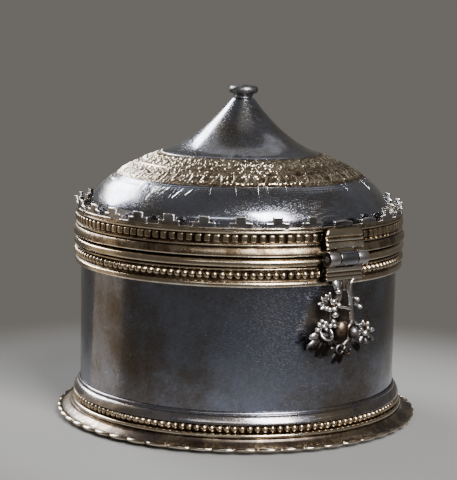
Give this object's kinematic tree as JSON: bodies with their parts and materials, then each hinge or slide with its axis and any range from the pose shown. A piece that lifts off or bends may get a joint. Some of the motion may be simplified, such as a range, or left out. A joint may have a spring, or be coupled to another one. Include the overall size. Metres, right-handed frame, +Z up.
{
  "type": "pyx",
  "caption": "Round parcel-gilt silver pyx with a hinged ogee lid, beaded gilt bands, a stepped cresting, a lobed foot and a hinged foliate hasp.",
  "frame": {"origin": "centre of the flat underside, on the axis of the drum", "axes": "+Z up, the hasp faces -Y, the lid's hinge is at +Y, +X is the right-hand side seen from the front"},
  "size_m": [0.1104, 0.1104, 0.1005],
  "materials": {
    "silver": "tarnished polished silver with fine scratches",
    "gilt": "worn old gilding on silver, brown in the recesses",
    "cast": "cast silver with worn gilding",
    "pin": "dull silver wire"
  },
  "bodies": {
    "box": {"drum": "silver", "foot_ring": "gilt", "body_band": "gilt", "box_leaf": "gilt", "hinge_pin": "pin"},
    "lid": {"lid_dome": "silver", "lid_band": "gilt", "cresting": "gilt", "knob": "silver", "hasp_plate": "gilt", "hasp_pin": "pin", "lid_leaf": "gilt"},
    "hasp": {"hasp": "cast"}
  },
  "joints": [
    {"name": "lid_hinge", "type": "hinge", "parent": "box", "child": "lid", "pos_m": [0, 0.0529, 0.055], "axis": [-1, 0, 0], "range_deg": [0, 105]},
    {"name": "hasp_hinge", "type": "hinge", "parent": "lid", "child": "hasp", "pos_m": [0, -0.0529, 0.0547], "axis": [-1, 0, 0], "range_deg": [0, 165]}
  ]
}
